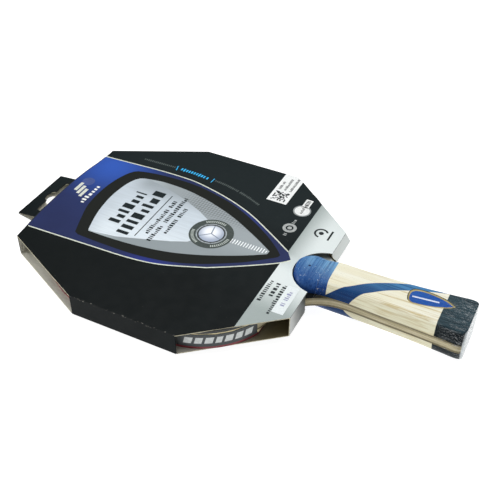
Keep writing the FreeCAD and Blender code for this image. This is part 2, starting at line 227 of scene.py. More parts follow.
def ink(name, code, other=None, rough=0.4, spec=0.15, metal=0.0):
    """A printed ink: two close tones broken up by the card's fine tooth."""
    s = Surface(name, Metallic=metal, Specular_IOR_Level=spec)
    tooth = s.noise(s.point, 700, 4)
    s.set("Base Color", s.mix(s.span(tooth, 0.3, 0.7), code, other or code))
    s.set("Roughness", s.span(tooth, 0.3, 0.7, rough - 0.05, rough + 0.07))
    s.bump(tooth, 0.00002)
    return s.material


def blue_band_ink():
    """Deep blue with a bright patch towards the far end of the header edge."""
    s = Surface("ink_blue_band", Specular_IOR_Level=0.12)
    centre = s.tree.nodes.new("ShaderNodeVectorMath")
    centre.operation = "DISTANCE"
    s.feed(centre.inputs[0], s.point)
    centre.inputs[1].default_value = at(11, 36)
    patch = s.span(centre.outputs["Value"], 0.044, 0.0)
    edge = s.along("Y", -28, -40)
    low = s.math("MULTIPLY", edge, s.along("X", 60, 88))
    far = s.math("MULTIPLY", s.along("Y", 14, 36), s.math("SUBTRACT", 1.0, s.along("X", 122, 100)))
    deep = s.mix(s.span(s.noise(s.point, 26, 2), 0.3, 0.7), "1c2650", "202c5a")
    tone = s.mix(s.math("MULTIPLY", patch, 0.95), deep, "2d57b4")
    tone = s.mix(s.math("MULTIPLY", low, 0.8), tone, "2234a8")
    tone = s.mix(s.math("MULTIPLY", far, 0.25), tone, "2234a8")
    s.set("Base Color", tone)
    s.print_finish(0.33, 0.42, 700)
    return s.material


def shield_ink():
    """The silver shield: darker flanks, with a fine weave on its far flank."""
    s = Surface("ink_shield_flank", Metallic=0.15)
    weave = s.tree.nodes.new("ShaderNodeTexChecker")
    s.feed(weave.inputs["Vector"], s.stretch((1, 1, 1), (0, 0, 0.78)))
    weave.inputs["Scale"].default_value = 760
    zone = s.math("MULTIPLY", s.along("Y", 12, 22), s.along("X", 62, 84))
    woven = s.math("MULTIPLY", weave.outputs["Fac"], zone)
    near = s.along("Y", 4, -12)
    tone = s.mix(near, "929b9f", "858f93")
    tone = s.mix(s.along("X", 60, 36), tone, "a9b4b9")
    tone = s.mix(s.math("MULTIPLY", woven, 0.8), tone, "686f72")
    s.set("Base Color", tone)
    s.print_finish(0.34, 0.44)
    return s.material


def wedge_ink():
    """The shield's lightest part: brushed silver, darker towards its far edge."""
    s = Surface("ink_shield_light", Metallic=0.1)
    tone = s.mix(s.along("Y", -22, 12), "d9e3ea", "c6d1da")
    tone = s.mix(s.along("Y", 12, 32), tone, "939da4")
    tone = s.mix(s.along("X", 44, 28), tone, "c0cbd4")
    brushed = s.noise(s.stretch((60, 900, 900), (0, 0, 0.5)), 1.0, 3)
    tone = s.mix(s.span(brushed, 0.35, 0.7, 0.0, 0.25), tone, "a3adb3")
    s.set("Base Color", tone)
    s.print_finish(0.36, 0.44)
    return s.material


def wood(name, pale, mid, streak, side, rough=0.38, coat=0.03, along="X", deep=0.85, painted_near_shade=0.0,
         painted_glints=False):
    """Lacquered wood: broad bands, fine streaks and pores, with painted shade on its sides, and if
    asked a painted shade towards the near side and painted glints of the film at the neck.
    """
    s = Surface(name, Coat_Weight=coat, Coat_Roughness=0.22, Specular_IOR_Level=0.05)
    slow, quick, pore = ((7, 95, 95), (24, 1000, 1000), (70, 2400, 2400))
    if along == "Y":
        slow, quick, pore = [(b, a, b) for a, b, c in (slow, quick, pore)]
    broad = s.noise(s.stretch(slow, (0, 0, 0.03)), 1.6, 3, 0.5, 0.35)
    fine = s.noise(s.stretch(quick), 1.0, 5, 0.65, 0.2)
    pores = s.noise(s.stretch(pore), 1.0, 2)
    tone = s.mix(s.span(broad, 0.38, 0.62), pale, mid)
    tone = s.mix(s.span(fine, 0.48, 0.68, 0.0, deep), tone, streak)
    # painted shade: darker towards the near side, where less light falls
    if painted_near_shade:
        tone = s.mix(s.math("MULTIPLY", s.along("Y", 7, -11), painted_near_shade), tone, side[0])
    # painted glints: pale specks where the film's crackle catches the light
    if painted_glints:
        zone = s.math("MULTIPLY", s.along("Y", 8, 2), s.along("Y", -13, -8))
        ends = s.math("MULTIPLY", s.along("X", 157, 163), s.along("X", 184, 178))
        zone = s.math("MULTIPLY", zone, ends)
        cracks = s.noise(s.stretch((900, 560, 560), (0, 0, 0.6)), 1.0, 5, 0.75, 1.2)
        painted_glint = s.span(cracks, 0.60, 0.67)
        tone = s.mix(s.math("MULTIPLY", painted_glint, s.math("MULTIPLY", zone, 0.75)), tone, "d5e2ea")
    # painted shade: faces that turn away from up take the darker side tones
    up = s.math("ABSOLUTE", s.axis(s.facing, "Z"))
    painted_shade = s.mix(s.span(fine, 0.4, 0.65, 0.0, 0.7), side[0], side[1])
    tone = s.mix(s.span(up, 0.86, 0.3, 0.0, 0.9), tone, painted_shade)
    s.set("Base Color", tone)
    s.set("Roughness", s.span(fine, 0.3, 0.7, rough - 0.06, rough + 0.1))
    s.bump(s.math("ADD", fine, s.math("MULTIPLY", pores, 0.6)), 0.00005)
    return s.material


def ply(name, pale, dark, face=None):
    """The edge of one ply: fibres along the blade; with face given, its up-facing side turns that dark
    colour near the neck, and a painted reflection makes it pale grey towards the far side.
    """
    s = Surface(name, Specular_IOR_Level=0.06)
    fibre = s.noise(s.stretch((60, 60, 1500)), 1.0, 4)
    long = s.noise(s.stretch((16, 16, 1900)), 1.0, 5, 0.7, 0.8)
    tone = s.mix(s.span(long, 0.40, 0.60), pale, dark)
    if face:
        level = s.span(s.math("ABSOLUTE", s.axis(s.facing, "Z")), 0.6, 0.8)
        # the up-facing side turns the dark face colour near the neck
        neck_darkening = s.math("MULTIPLY", level, s.along("X", 196, 176))
        cloudy = s.span(s.noise(s.stretch((90, 300, 300)), 1.0, 3), 0.3, 0.7, 0.0, 0.25)
        # painted reflection: towards the far side the face turns pale grey
        painted_reflection = s.math("SUBTRACT", s.along("Y", 8.5, 11.5), cloudy, clamp=True)
        tone = s.mix(neck_darkening, tone, s.mix(painted_reflection, face, "b9c0bd"))
    s.set("Base Color", tone)
    s.set("Roughness", s.span(fibre, 0.3, 0.7, 0.55, 0.75))
    s.bump(fibre, 0.00006)
    return s.material


def sponge(name):
    """Foam: a cream body pitted with small open cells."""
    s = Surface(name, Roughness=0.92)
    cells = s.tree.nodes.new("ShaderNodeTexVoronoi")
    s.feed(cells.inputs["Vector"], s.point)
    cells.inputs["Scale"].default_value = 2300
    hollow = s.span(cells.outputs["Distance"], 0.0, 0.45)
    s.set("Base Color", s.mix(hollow, "b9a574", "efe2b6"))
    s.bump(hollow, 0.00012, 0.9)
    return s.material


def rubber(name, code, lift):
    """A table tennis topsheet: satin, faintly mottled, with dust and a soft sheen."""
    s = Surface(name, Sheen_Weight=0.15, Sheen_Roughness=0.5)
    mottle = s.noise(s.point, 120, 4)
    dust = s.span(s.noise(s.point, 1500, 5, 0.7), 0.62, 0.75)
    tone = s.mix(s.span(mottle, 0.3, 0.7), code, lift)
    s.set("Base Color", s.mix(s.math("MULTIPLY", dust, 0.06), tone, "9a9a92"))
    s.set("Roughness", s.span(mottle, 0.3, 0.7, 0.42, 0.56))
    s.bump(s.noise(s.point, 2200), 0.00003)
    return s.material


def tape_fabric():
    """Edge tape: fine crosswise ribs in charcoal, with painted shade towards its lower edge."""
    s = Surface("tape_fabric", Sheen_Weight=0.1, Specular_IOR_Level=0.4)
    ribs = s.noise(s.stretch((2600, 2600, 200)), 1.0, 2)
    # painted shade: darker towards the lower edge
    low = s.along("Z", -8.8, -11.6)
    tone = s.mix(s.span(ribs, 0.3, 0.7), "363b3e", "43494c")
    s.set("Base Color", s.mix(s.math("MULTIPLY", low, 0.5), tone, "23272a"))
    s.set("Roughness", s.span(ribs, 0.3, 0.7, 0.4, 0.55))
    s.bump(ribs, 0.00004)
    return s.material


def film():
    """Shrink film: nearly clear, with painted glints on the fine crackle at the neck and painted
    highlights along the gathers round the butt.
    """
    s = Surface("shrink_film", Roughness=0.16, IOR=1.5)
    butt = s.along("X", 240, 262)
    end = s.span(s.axis(s.facing, "X"), 0.45, 0.9)
    neck = s.math("SUBTRACT", 1.0, s.along("X", 181, 190))
    gathers = s.noise(s.stretch((70, 420, 420), (0, 0.4, 0.75)), 1.0, 3, 0.55, 1.0)
    crease = s.span(s.math("ABSOLUTE", s.math("SUBTRACT", gathers, 0.5)), 0.012, 0.0)
    crinkle = s.noise(s.stretch((1100, 700, 700)), 1.0, 5, 0.7, 1.0)
    painted_glint = s.span(crinkle, 0.60, 0.68)
    # painted highlights: white shows along the gathers' creases at the butt and on the crackle's
    # specks at the neck
    seen = s.math("ADD", 0.0015, s.math("MULTIPLY", s.math("MULTIPLY", crease, butt), 0.26))
    seen = s.math("ADD", seen, s.math("MULTIPLY", s.math("MULTIPLY", painted_glint, neck), 0.30))
    frost = s.span(s.noise(s.stretch((300, 420, 160)), 1.0, 5, 0.7, 1.2), 0.35, 0.62, 0.35, 0.9)
    seen = s.math("ADD", seen, s.math("MULTIPLY", end, frost), clamp=True)
    s.set("Base Color", s.mix(end, "f4f8fa", "cfd9dc"))
    s.set("Alpha", seen)
    relief = s.math("ADD", s.math("MULTIPLY", gathers, butt), s.math("MULTIPLY", crinkle, 0.2))
    s.bump(relief, 0.0003, 0.6)
    return s.material


def paper(name, code, lift):
    """Plain paper or bare board with a fine tooth."""
    s = Surface(name, Roughness=0.55)
    tooth = s.noise(s.point, 1300, 5)
    s.set("Base Color", s.mix(s.span(tooth, 0.3, 0.7), code, lift))
    s.bump(tooth, 0.00003)
    return s.material


def gloss_plastic(name, code, lift, rough=0.2, metal=0.0):
    """Glossy plastic with a faint lengthwise swirl."""
    s = Surface(name, Coat_Weight=0.03, Coat_Roughness=0.15, Metallic=metal, Specular_IOR_Level=0.06)
    swirl = s.noise(s.stretch((60, 400, 400)), 1.0, 3)
    s.set("Base Color", s.mix(s.span(swirl, 0.3, 0.7), code, lift))
    s.set("Roughness", s.span(swirl, 0.3, 0.7, rough, rough + 0.12))
    s.bump(swirl, 0.00003)
    return s.material


def carbon():
    """The cut edge of a woven carbon layer."""
    s = Surface("carbon_weave", Roughness=0.4)
    weave = s.tree.nodes.new("ShaderNodeTexChecker")
    s.feed(weave.inputs["Vector"], s.point)
    weave.inputs["Scale"].default_value = 900
    s.set("Base Color", s.mix(weave.outputs["Fac"], "2a2622", "4a443c"))
    s.bump(weave.outputs["Fac"], 0.00004)
    return s.material


def floor_finish():
    """A white sweep that glows a little, as a lit studio table does."""
    s = Surface("floor_finish", Roughness=0.9, Specular_IOR_Level=0.0, Emission_Color=(1, 1, 1, 1),
                Emission_Strength=0.95)
    s.set("Base Color", s.mix(s.span(s.noise(s.point, 9, 3), 0.3, 0.7), "949494", "9a9a9a"))
    return s.material


# ---- Mesh helpers ----

def smooth(points, steps=6):
    """A Catmull-Rom line through the points."""
    count = len(points)
    line = []
    for i in range(count - 1):
        p = [points[min(max(i + k, 0), count - 1)] for k in (-1, 0, 1, 2)]
        for j in range(steps):
            t = j / steps
            line.append(tuple(
                0.5 * (2 * b + (c - a) * t + (2 * a - 5 * b + 4 * c - d) * t * t
                       + (3 * b - a - 3 * c + d) * t ** 3) for a, b, c, d in zip(*p)))
    line.append(tuple(points[-1]))
    return line


def make(name, points, faces, material, body):
    """A piece from points and faces that rides on a body."""
    mesh = bpy.data.meshes.new(name)
    mesh.from_pydata([tuple(p) for p in points], [], faces)
    mesh.validate()
    mesh.materials.append(material)
    piece = bpy.data.objects.new(name, mesh)
    bpy.context.scene.collection.objects.link(piece)
    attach(piece, body)
    return piece


LAYER = 0.02    # millimetres from one layer of ink to the next


def prints(name, outlines, layer, material, body="lid", base=0.0):
    """Ink laid on a level face: one flat shape for each outline, layer by layer."""
    points, faces = [], []
    lift = base + LAYER * layer
    for outline in outlines:
        area = sum(a[0] * b[1] - b[0] * a[1] for a, b in zip(outline, outline[1:] + outline[:1]))
        loop = outline if area > 0 else outline[::-1]
        faces.append(tuple(range(len(points), len(points) + len(loop))))
        points += [at(x, y, lift) for x, y in loop]
    return make(name, points, faces, material, body)


def strip(line, width):
    """The outline of a thin line of even width."""
    left, right = [], []
    for i, (x, y) in enumerate(line):
        ax, ay = line[max(i - 1, 0)]
        bx, by = line[min(i + 1, len(line) - 1)]
        length = math.hypot(bx - ax, by - ay)
        nx, ny = -(by - ay) / length * width / 2, (bx - ax) / length * width / 2
        left.append((x + nx, y + ny))
        right.append((x - nx, y - ny))
    return left + right[::-1]


def disc(cx, cy, r, count=40):
    """The outline of a full round."""
    turns = [2 * math.pi * i / count for i in range(count)]
    return [(cx + r * math.cos(t), cy + r * math.sin(t)) for t in turns]


def ring(cx, cy, r0, r1, start=0.0, end=2 * math.pi, count=40):
    """A ring, or part of one, as an outline that turns back along its inner side."""
    turns = [start + (end - start) * i / count for i in range(count + 1)]
    outer = [(cx + r1 * math.cos(t), cy + r1 * math.sin(t)) for t in turns]
    inner = [(cx + r0 * math.cos(t), cy + r0 * math.sin(t)) for t in reversed(turns)]
    return outer + inner


def rect(x0, x1, y0, y1):
    """The outline of an upright rectangle."""
    return [(x0, y0), (x1, y0), (x1, y1), (x0, y1)]


def greek(x0, x1, start, end, words, gap, stroke):
    """A line of print as plain blocks: each word is a run of short upright strokes.

    The line runs in y from start to end, and its strokes stand between x0 and x1.
    """
    total = sum(words) + gap * (len(words) - 1)
    unit = (end - start) / total
    shapes = []
    y = start
    for word in words:
        stop = y + word * unit
        while y < stop - 0.3 * stroke:
            wide = min(stroke * random.choice((0.8, 1.0, 1.5)), stop - y)
            cut = random.choice((0.0, 0.0, 0.32)) * (x1 - x0)
            shapes.append(rect(x0 + cut, x1, y, y + wide))
            y += wide + stroke * 0.75
        y = stop + gap * unit
    return shapes


def slanted(line, width, words, gap, stroke):
    """Greeked print that follows a line instead of the y axis."""
    lengths = [math.dist(a, b) for a, b in zip(line, line[1:])]
    total = sum(lengths)
    unit = total / (sum(words) + gap * (len(words) - 1))

    def spot(distance):
        for (a, b), step in zip(zip(line, line[1:]), lengths):
            if distance <= step:
                break
            distance -= step
        ux, uy = (b[0] - a[0]) / step, (b[1] - a[1]) / step
        return a[0] + ux * distance, a[1] + uy * distance, ux, uy

    shapes = []
    done = 0.0
    for word in words:
        stop = done + word * unit
        while done < stop - 0.3 * stroke:
            x, y, ux, uy = spot(done)
            half = width / 2 * random.choice((0.8, 1.0))
            a, b = (x - uy * half, y + ux * half), (x + uy * half, y - ux * half)
            shapes.append([a, b, (b[0] + ux * stroke, b[1] + uy * stroke),
                           (a[0] + ux * stroke, a[1] + uy * stroke)])
            done += stroke * 1.75
        done = stop + gap * unit
    return shapes


# ---- Card sleeve ----

def dress(node, material):
    """Give a CAD node its finish."""
    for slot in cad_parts[node].material_slots:
        slot.material = material


dress("top_panel", card("card_up", (0, 0, 1)))
dress("bottom_panel", card("card_down", (0, 0, -1)))
dress("near_side_wall", card("card_near", (0, -1, 0)))
dress("far_side_wall", card("card_far", (0, 1, 0)))
dress("header_wall", card("card_header", (-1, 0, 0)))
dress("near_front_flap", card("card_front_near", (1, 0, 0), silver="near"))
dress("far_front_flap", card("card_front_far", (1, 0, 0), silver="far"))
dress("tab_lower_layer", card("card_tab_low", (0, 0, -1)))
dress("tab_upper_layer", card("card_tab_up", (0, 0, 1)))
dress("side_glue_flap", paper("board_side_flap", "c4c2b6", BOARD))
dress("header_glue_flap", paper("board_header_flap", "c4c2b6", BOARD))
dress("info_label", paper("label_white", "e6e9e8", "f4f6f6"))
dress("size_sticker", paper("sticker_white", "dde5e6", "e9f0f1"))

HEADER_EDGE = [(0.0, -51.0), (-1.5, -36.0), (-2.7, -18.0), (-3.1, 4.0), (-2.3, 22.0), (-0.6, 37.0),
               (0.0, 51.0)]
BAND_FAR = [(0.0, 43.2), (16, 44.1), (40, 45.5), (58, 45.6), (71.5, 44.4), (94, 38.8), (114, 30.9),
            (133, 19.8), (150.3, 8.7)]
BAND_NEAR = [(0.0, -40.3), (11, -40), (43.6, -38.9), (69.7, -37.9), (89, -34.8), (111, -26.6),
             (118, -23.2), (134, -13.5), (149, -3.4), (155, 2.3)]
DARK_FAR = [(28.6, 38.4), (40, 40.9), (57.9, 42.1), (73.2, 41.3), (86.9, 38.4), (100.7, 34.3),
            (115.7, 27.3), (131.8, 17.3), (142.7, 8.6), (147.6, 3.6)]
DARK_NEAR = [(147.0, 1.4), (135.2, -8.6), (127.1, -14.2), (110.3, -23.8), (91.6, -30.7),
             (71.1, -33.9), (48.0, -34.2), (31.4, -33.6)]
DARK_HEAD = [(28.6, -32.2), (24.7, -21.6), (20.2, -7.3), (19.0, 7.1), (20.0, 20.1), (23.0, 31.0),
             (26.0, 36.4)]
FLANK_FAR = [(37.0, 33.2), (43.9, 34.6), (52.1, 35.4), (67.2, 34.6), (81.0, 31.9), (92.1, 28.6),
             (103.6, 24.3), (113.5, 19.6), (128.7, 11.2), (140.6, 3.9)]
FLANK_NEAR = [(140.3, 1.0), (127.9, -6.6), (110.6, -15.2), (96.7, -20.6), (87.0, -23.4),
              (76.9, -25.4), (66.6, -26.8), (55.3, -27.6), (43.8, -27.9), (38.4, -27.8), (35.2, -27.9)]
FLANK_HEAD = [(34.4, -26.6), (31.0, -15.2), (29.0, -5.0), (28.0, 8.0), (29.2, 20.9), (31.6, 28.4),
              (34.2, 31.9)]
WEDGE_FAR = [(37.0, 33.2), (40.0, 33.8), (56.3, 30.1), (73.0, 24.6), (85.9, 18.7), (94.0, 13.8)]
WEDGE_NEAR = [(93.4, -10.0), (84.1, -14.3), (68.9, -19.7), (53.5, -24.9), (37.5, -27.4)]
BORDER_X = 150.4            # where the silver print starts
SIDE_LIMIT = 79.5           # half the lid's width
FRONT_X = 174.0             # the lid's front edge
FRONT_HALF = 40.2           # half the length of the front edge
DIAGONAL_X = 125.8          # where the slanted front corners start
ARCH = (176.8, 0.4, 18.3)   # centre and radius of the cut for the handle
EMBLEM = (102.5, 2.9)       # the emblem's centre


def diagonal_half(x):
    """Half the panel's width on its slanted front corners."""
    return SIDE_LIMIT + (FRONT_HALF - SIDE_LIMIT) * (x - DIAGONAL_X) / (FRONT_X - DIAGONAL_X)


def front_outline():
    """The silver front of the lid, round the arch."""
    half = diagonal_half(BORDER_X)
    cx, cy, r = ARCH
    reach = math.sqrt(r * r - (FRONT_X - cx) ** 2)
    start = math.atan2(-reach, FRONT_X - cx)
    steps = 48
    turns = [start - (2 * math.pi + 2 * start) * i / steps for i in range(steps + 1)]
    arch = [(cx + r * math.cos(t), cy + r * math.sin(t)) for t in turns]
    near = [(BORDER_X, -half), (FRONT_X, -FRONT_HALF)]
    far = [(FRONT_X, FRONT_HALF), (BORDER_X, half)]
    return near + arch + far


def lid_print():
    """The large printed shapes of the lid, and the outline of the shield's silver part."""
    far, near = smooth(BAND_FAR), smooth(BAND_NEAR)
    header = [p for p in smooth(HEADER_EDGE) if -40.3 < p[1] < 43.2]
    prints("print_blue_band", [near + far[::-1] + header[::-1]], 1, blue_band_ink())
    rim = ink("ink_rim", "c6ccbd", "dfe4d6", 0.35)
    prints("print_band_lines", [strip(far, 0.85), strip(near, 0.85)], 2, rim)
    prints("print_header_rim", [strip([(x + 0.12, y) for x, y in header], 0.5)], 2,
           ink("ink_rim_dark", "1a2128", "262d33"))
    s = Surface("ink_front_silver", Specular_IOR_Level=0.42, Metallic=0.1)
    # the silver print carries painted glow and painted shade
    s.set("Base Color", silver_with_painted_light(s))
    s.print_finish(0.34, 0.44)
    prints("print_front_silver", [front_outline()], 0.5, s.material)
    shield = smooth(DARK_HEAD) + smooth(DARK_FAR) + smooth(DARK_NEAR)
    prints("print_dark_shield", [shield], 2, ink("ink_shield_dark", "161917", "1b1e1b", 0.5, 0.08))
    flank = smooth(FLANK_HEAD) + smooth(FLANK_FAR) + smooth(FLANK_NEAR)
    prints("print_shield_flanks", [flank], 3, shield_ink())
    wedge = smooth(FLANK_HEAD) + WEDGE_FAR + [EMBLEM] + WEDGE_NEAR
    prints("print_shield_light", [wedge], 4, wedge_ink())
    return flank


def inside(x, y, outline):
    """Whether a point is within an outline."""
    hit = False
    for (ax, ay), (bx, by) in zip(outline, outline[1:] + outline[:1]):
        if (ay > y) != (by > y) and x < ax + (y - ay) * (bx - ax) / (by - ay):
            hit = not hit
    return hit


def tip_arcs(flank):
    """Short arcs round the emblem that run down the shield's tip."""
    ex, ey = EMBLEM
    shapes = []
    radius, step, last = 13.6, 1.75, 38
    while radius < last:
        turns = [math.asin(y / radius) for y in (-2.2, -1.2, -0.2, 0.8, 1.8)]
        out = radius + 1
        kept = [t for t in turns if inside(ex + out * math.cos(t), ey + out * math.sin(t), flank)]
        if len(kept) > 1:
            shapes.append(ring(ex, ey, radius - 0.25, radius + 0.45, kept[0], kept[-1], 10))
        radius += step
    prints("print_tip_arcs", shapes, 4, ink("ink_arcs", "e6ebee", "f6f9fa", 0.4))


def emblem():
    """A plain round boss with three spokes and three rows of ticks."""
    ex, ey = EMBLEM
    light_r = 7.6
    prints("print_emblem_ring", [disc(ex, ey, 13.6)], 5,
           ink("ink_emblem_dark", "39423f", "454e4b", 0.35))
    ticks = []
    for middle in (100, 215, 325):
        for k in range(-5, 6):
            turn = math.radians(middle + k * 6)
            ticks.append(ring(ex, ey, 10.6, 12.4, turn, turn + 0.06, 2))
    prints("print_emblem_ticks", ticks, 6, ink("ink_ticks", "aab3ae", "b9c1bc", 0.4))
    prints("print_emblem_collar", [disc(ex, ey, 9.4)], 6,
           ink("ink_collar", "8d9599", "a4abae", 0.3, metal=0.4))
    prints("print_emblem_groove", [disc(ex, ey, 8.6)], 7, ink("ink_groove", "2f3536", "3a4041", 0.35))
    s = Surface("ink_emblem_light", Metallic=0.2, Roughness=0.3)
    distance = s.tree.nodes.new("ShaderNodeVectorMath")
    distance.operation = "DISTANCE"
    s.feed(distance.inputs[0], s.point)
    distance.inputs[1].default_value = at(ex - 1, ey + 1.5)
    s.set("Base Color", s.mix(s.span(distance.outputs["Value"], 0.002, 0.0085), "eef2f8", "9aa6ba"))
    s.bump(s.noise(s.point, 900), 0.00002)
    prints("print_emblem_light", [disc(ex, ey, light_r)], 8, s.material)
    spokes = [strip([(ex, ey), (ex + light_r * math.cos(a), ey + light_r * math.sin(a))], 0.7)
              for a in (math.radians(100), math.radians(-20), math.radians(220))]
    prints("print_emblem_spokes", spokes, 9, ink("ink_spokes", "7c8798", "8a95a5", 0.4))


def lines():
    """The lines of print, all as plain blocks that spell nothing."""
    dark = ink("ink_text_dark", "161e20", "222b2e", 0.45, 0.06)
    blocks = greek(39.8, 47.4, -13.8, 19.2, [1], 1, 3.0)
    blocks += greek(50.2, 58.2, -21.0, 27.4, [1], 1, 3.3)
    prints("print_title_blocks", blocks, 5, dark)
    prints("print_rule", [strip([(62.6, -19.6), (62.6, 24.7)], 0.6)], 5, dark)
    small = greek(66.0, 68.7, -14.4, 20.8, [11, 3], 1.2, 0.95)
    small += greek(70.7, 73.4, -19.7, 26.9, [6, 10], 1.2, 0.95)
    small += greek(75.8, 78.5, -9.5, 17.4, [6, 4], 1.2, 0.95)
    prints("print_small_lines", small, 5, dark)
    grey = ink("ink_row_grey", "47504f", "535c5a", 0.5)
    row = slanted([(24.8, 52.4), (47.5, 53.2)], 1.9, [1], 1, 0.8)
    row += slanted([(78.7, 51.9), (88, 50.6), (97, 48.3)], 1.9, [1], 1, 0.8)
    row += slanted([(98.9, 47.8), (107, 45.0), (115.4, 41.2)], 1.9, [1], 1, 0.8)
    prints("print_row_grey", row, 1, grey)
    cyan = ink("ink_row_cyan", "2aa8e6", "3bbcf6", 0.4)
    row = slanted([(52.6, 53.2), (64, 52.9), (74.6, 51.6)], 3.0, [8, 1], 0.8, 1.1)
    row += [strip([(49.0, 55.3), (50.1, 50.6)], 0.6), strip([(77.3, 53.6), (77.0, 48.9)], 0.6)]
    prints("print_row_cyan", row, 1, cyan)
    black = ink("ink_text_black", "20272a", "2a3134", 0.45)
    front = greek(151.6, 153.9, -35.8, -18.0, [1], 1, 0.95)
    front += greek(156.0, 158.4, -29.8, -17.7, [1], 1, 1.3)
    front += greek(160.2, 162.4, -43.0, -18.6, [1], 1, 0.95)
    prints("print_front_lines", front, 1.2, black)
    sticker = greek(164.9, 167.3, -34.2, -31.8, [1], 1, 1.0)
    sticker += greek(164.9, 167.3, -29.4, -22.0, [1], 1, 0.9)
    prints("print_sticker_marks", sticker, 8, ink("ink_sticker", "8f93b4", "a4a7c2", 0.5))
    grid = []
    side, cell, ends = 11, 0.86, (0, 10)
    for i in range(side):
        for j in range(side):
            solid = i in ends and j in ends
            if solid or random.random() < 0.52:
                x, y = 118.6 + i * cell, 50.7 + j * cell
                grid.append(rect(x, x + 0.87, y, y + 0.87))
    grid += greek(118.8, 120.5, 62.4, 71.0, [5, 3], 1, 0.5)
    grid += greek(122.4, 124.1, 62.4, 75.5, [1], 1, 0.5)
    grid += greek(126.2, 127.9, 62.4, 77.4, [1], 1, 0.5)
    prints("print_label_blocks", grid, 8, ink("ink_label_black", "24292b", "33383a", 0.5))


def badges():
    """Plain round seals, bars and an open ring."""
    pale = ink("ink_badge_pale", "dfe2e0", "eff1f0", 0.45)
    grey = ink("ink_badge_grey", "83898a", "959b9b", 0.45)
    dark = ink("ink_badge_dark", "23292b", "2b3133", 0.45)
    prints("print_seal_ring", [disc(141.9, 47.8, 5.6)], 1, grey)
    prints("print_seal", [disc(141.9, 47.8, 4.7), rect(139.8, 144.4, 51.5, 60.2)], 2, pale)
    strokes = greek(140.8, 143.4, 52.6, 59.2, [1], 1, 0.8)
    strokes += greek(141.0, 142.8, 45.2, 50.6, [1], 1, 0.7)
    prints("print_seal_strokes", strokes, 3, dark)
    seal = [ring(141.9, 29.2, 2.4, 4.3), disc(141.9, 29.2, 1.4)]
    seal += greek(140.9, 142.9, 21.4, 24.2, [1], 1, 0.8)
    seal += greek(140.9, 142.9, 34.2, 38.0, [1], 1, 0.8)
    prints("print_small_seal", seal, 1, ink("ink_seal_mid", "9a9f9e", "b2b6b5", 0.45))
    black = ink("ink_mark_black", "1b2123", "272d2f", 0.45)
    mark = [ring(161.0, 33.0, 3.2, 4.4, 0.5, 4.6), disc(161.0, 33.0, 1.5)]
    mark.append(rect(166.2, 167.4, 28.4, 37.6))
    prints("print_front_mark", mark, 1.2, black)
    bars = [rect(2.6, 4.8, 2.6, 11.2), rect(5.8, 8.0, 0.4, 9.0), rect(9.0, 11.2, -1.8, 6.8)]
    prints("print_header_mark", bars, 3, ink("ink_header_mark", "c3c8bd", "dde1d6", 0.35))
    prints("print_header_ghost", [disc(6.0, 14.0, 4.2)], 2,
           ink("ink_header_ghost", "3c4c84", "46578e", 0.4))
    prints("print_header_bar", greek(13.2, 16.2, -6.4, 13.0, [1], 1, 1.6), 3,
           ink("ink_header_bar", "e2e6e2", "f2f4f0", 0.35))


tip_arcs(lid_print())
emblem()
lines()
badges()


# ---- Paddle ----

PALE = ("eeeddd", "e8e4cc", "c4b07c")
PALE_PAINTED_SIDE_SHADE = ("dedcc2", "bdae82")
for side in ("top", "bottom"):
    dress(side + "_scale_neck_block",
          wood("wood_neck_" + side, "74a4cc", "5282b4", "2c5689", ("1a3f80", "0f2144"), along="Y",
               painted_near_shade=0.8, painted_glints=True))
    dress(side + "_scale_swoosh",
          wood("wood_swoosh_" + side, "4680b0", "336596", "1b3e68", ("173a6c", "0c2242"),
               painted_near_shade=0.8))
    dress(side + "_scale_fore_block", wood("wood_fore_" + side, *PALE, PALE_PAINTED_SIDE_SHADE, deep=0.4))
    dress(side + "_scale_main_block", wood("wood_main_" + side, *PALE, PALE_PAINTED_SIDE_SHADE))
    dress(side + "_scale_butt_block",
          wood("wood_butt_" + side, "33474f", "26373f", "131e24", ("0b1317", "04080a")))
    dress(side + "_scale_veneer_lines",
          wood("wood_veneer_" + side, "f0ead6", "e8e0c8", "dccfae", PALE_PAINTED_SIDE_SHADE, deep=0.4))
    dress(side + "_inner_ply", ply("ply_inner_" + side, "bcb396", "857b5c"))
    dress(side + "_outer_ply", ply("ply_outer_" + side, "9c9374", "6a624a", "070b0d"))
    dress(side + "_fibre_layer", carbon())
    dress(side + "_sponge", sponge("sponge_" + side))
dress("blade_core", ply("ply_core", "cfc6aa", "938968"))
dress("black_topsheet", rubber("rubber_black", "15181a", "1f2325"))
dress("red_topsheet", rubber("rubber_red", "6d1420", "84202c"))
dress("badge_insert", gloss_plastic("badge_blue", "154a9c", "1c55a6"))
dress("badge_rim", gloss_plastic("badge_bronze", "8f8250", "b0a272", 0.4, 0.2))
dress("handle_film", film())

RIM_LINE = [(226.2, -2.9), (225.2, 0.6), (225.3, 4.3), (226.9, 6.6), (229.8, 7.6), (234.1, 7.9),
            (239.9, 7.4), (245.8, 6.1), (251.0, 3.3)]


def on_crown(name, shape, material):
    """Print on the flat top of the upper scale."""
    prints(name, [shape], 1, material, "paddle", CROWN)


# A pin's mark on the neck, a dark line round the badge and a plain bar on it
on_crown("neck_pin_mark", disc(168.1, -1.2, 0.75, 16), ink("ink_pin", "12244a", "182c58"))
on_crown("badge_rim_line", strip(smooth(RIM_LINE), 0.5), ink("ink_rim_line", "3c3f38", "4a4c42"))
on_crown("badge_bar", strip([(227.6, 0.9), (242.2, 2.5)], 1.1),
         ink("ink_badge_bar", "c9d3ea", "dbe3f4"))

# The head's outline: its round, its straight sides, its shoulders and the rubbers' lower edge
HEAD_R, HEAD_X, SHOULDER_X, SHOULDER_R, CUT_X = 75.2, 77.0, 115.0, 47.3, 158.6


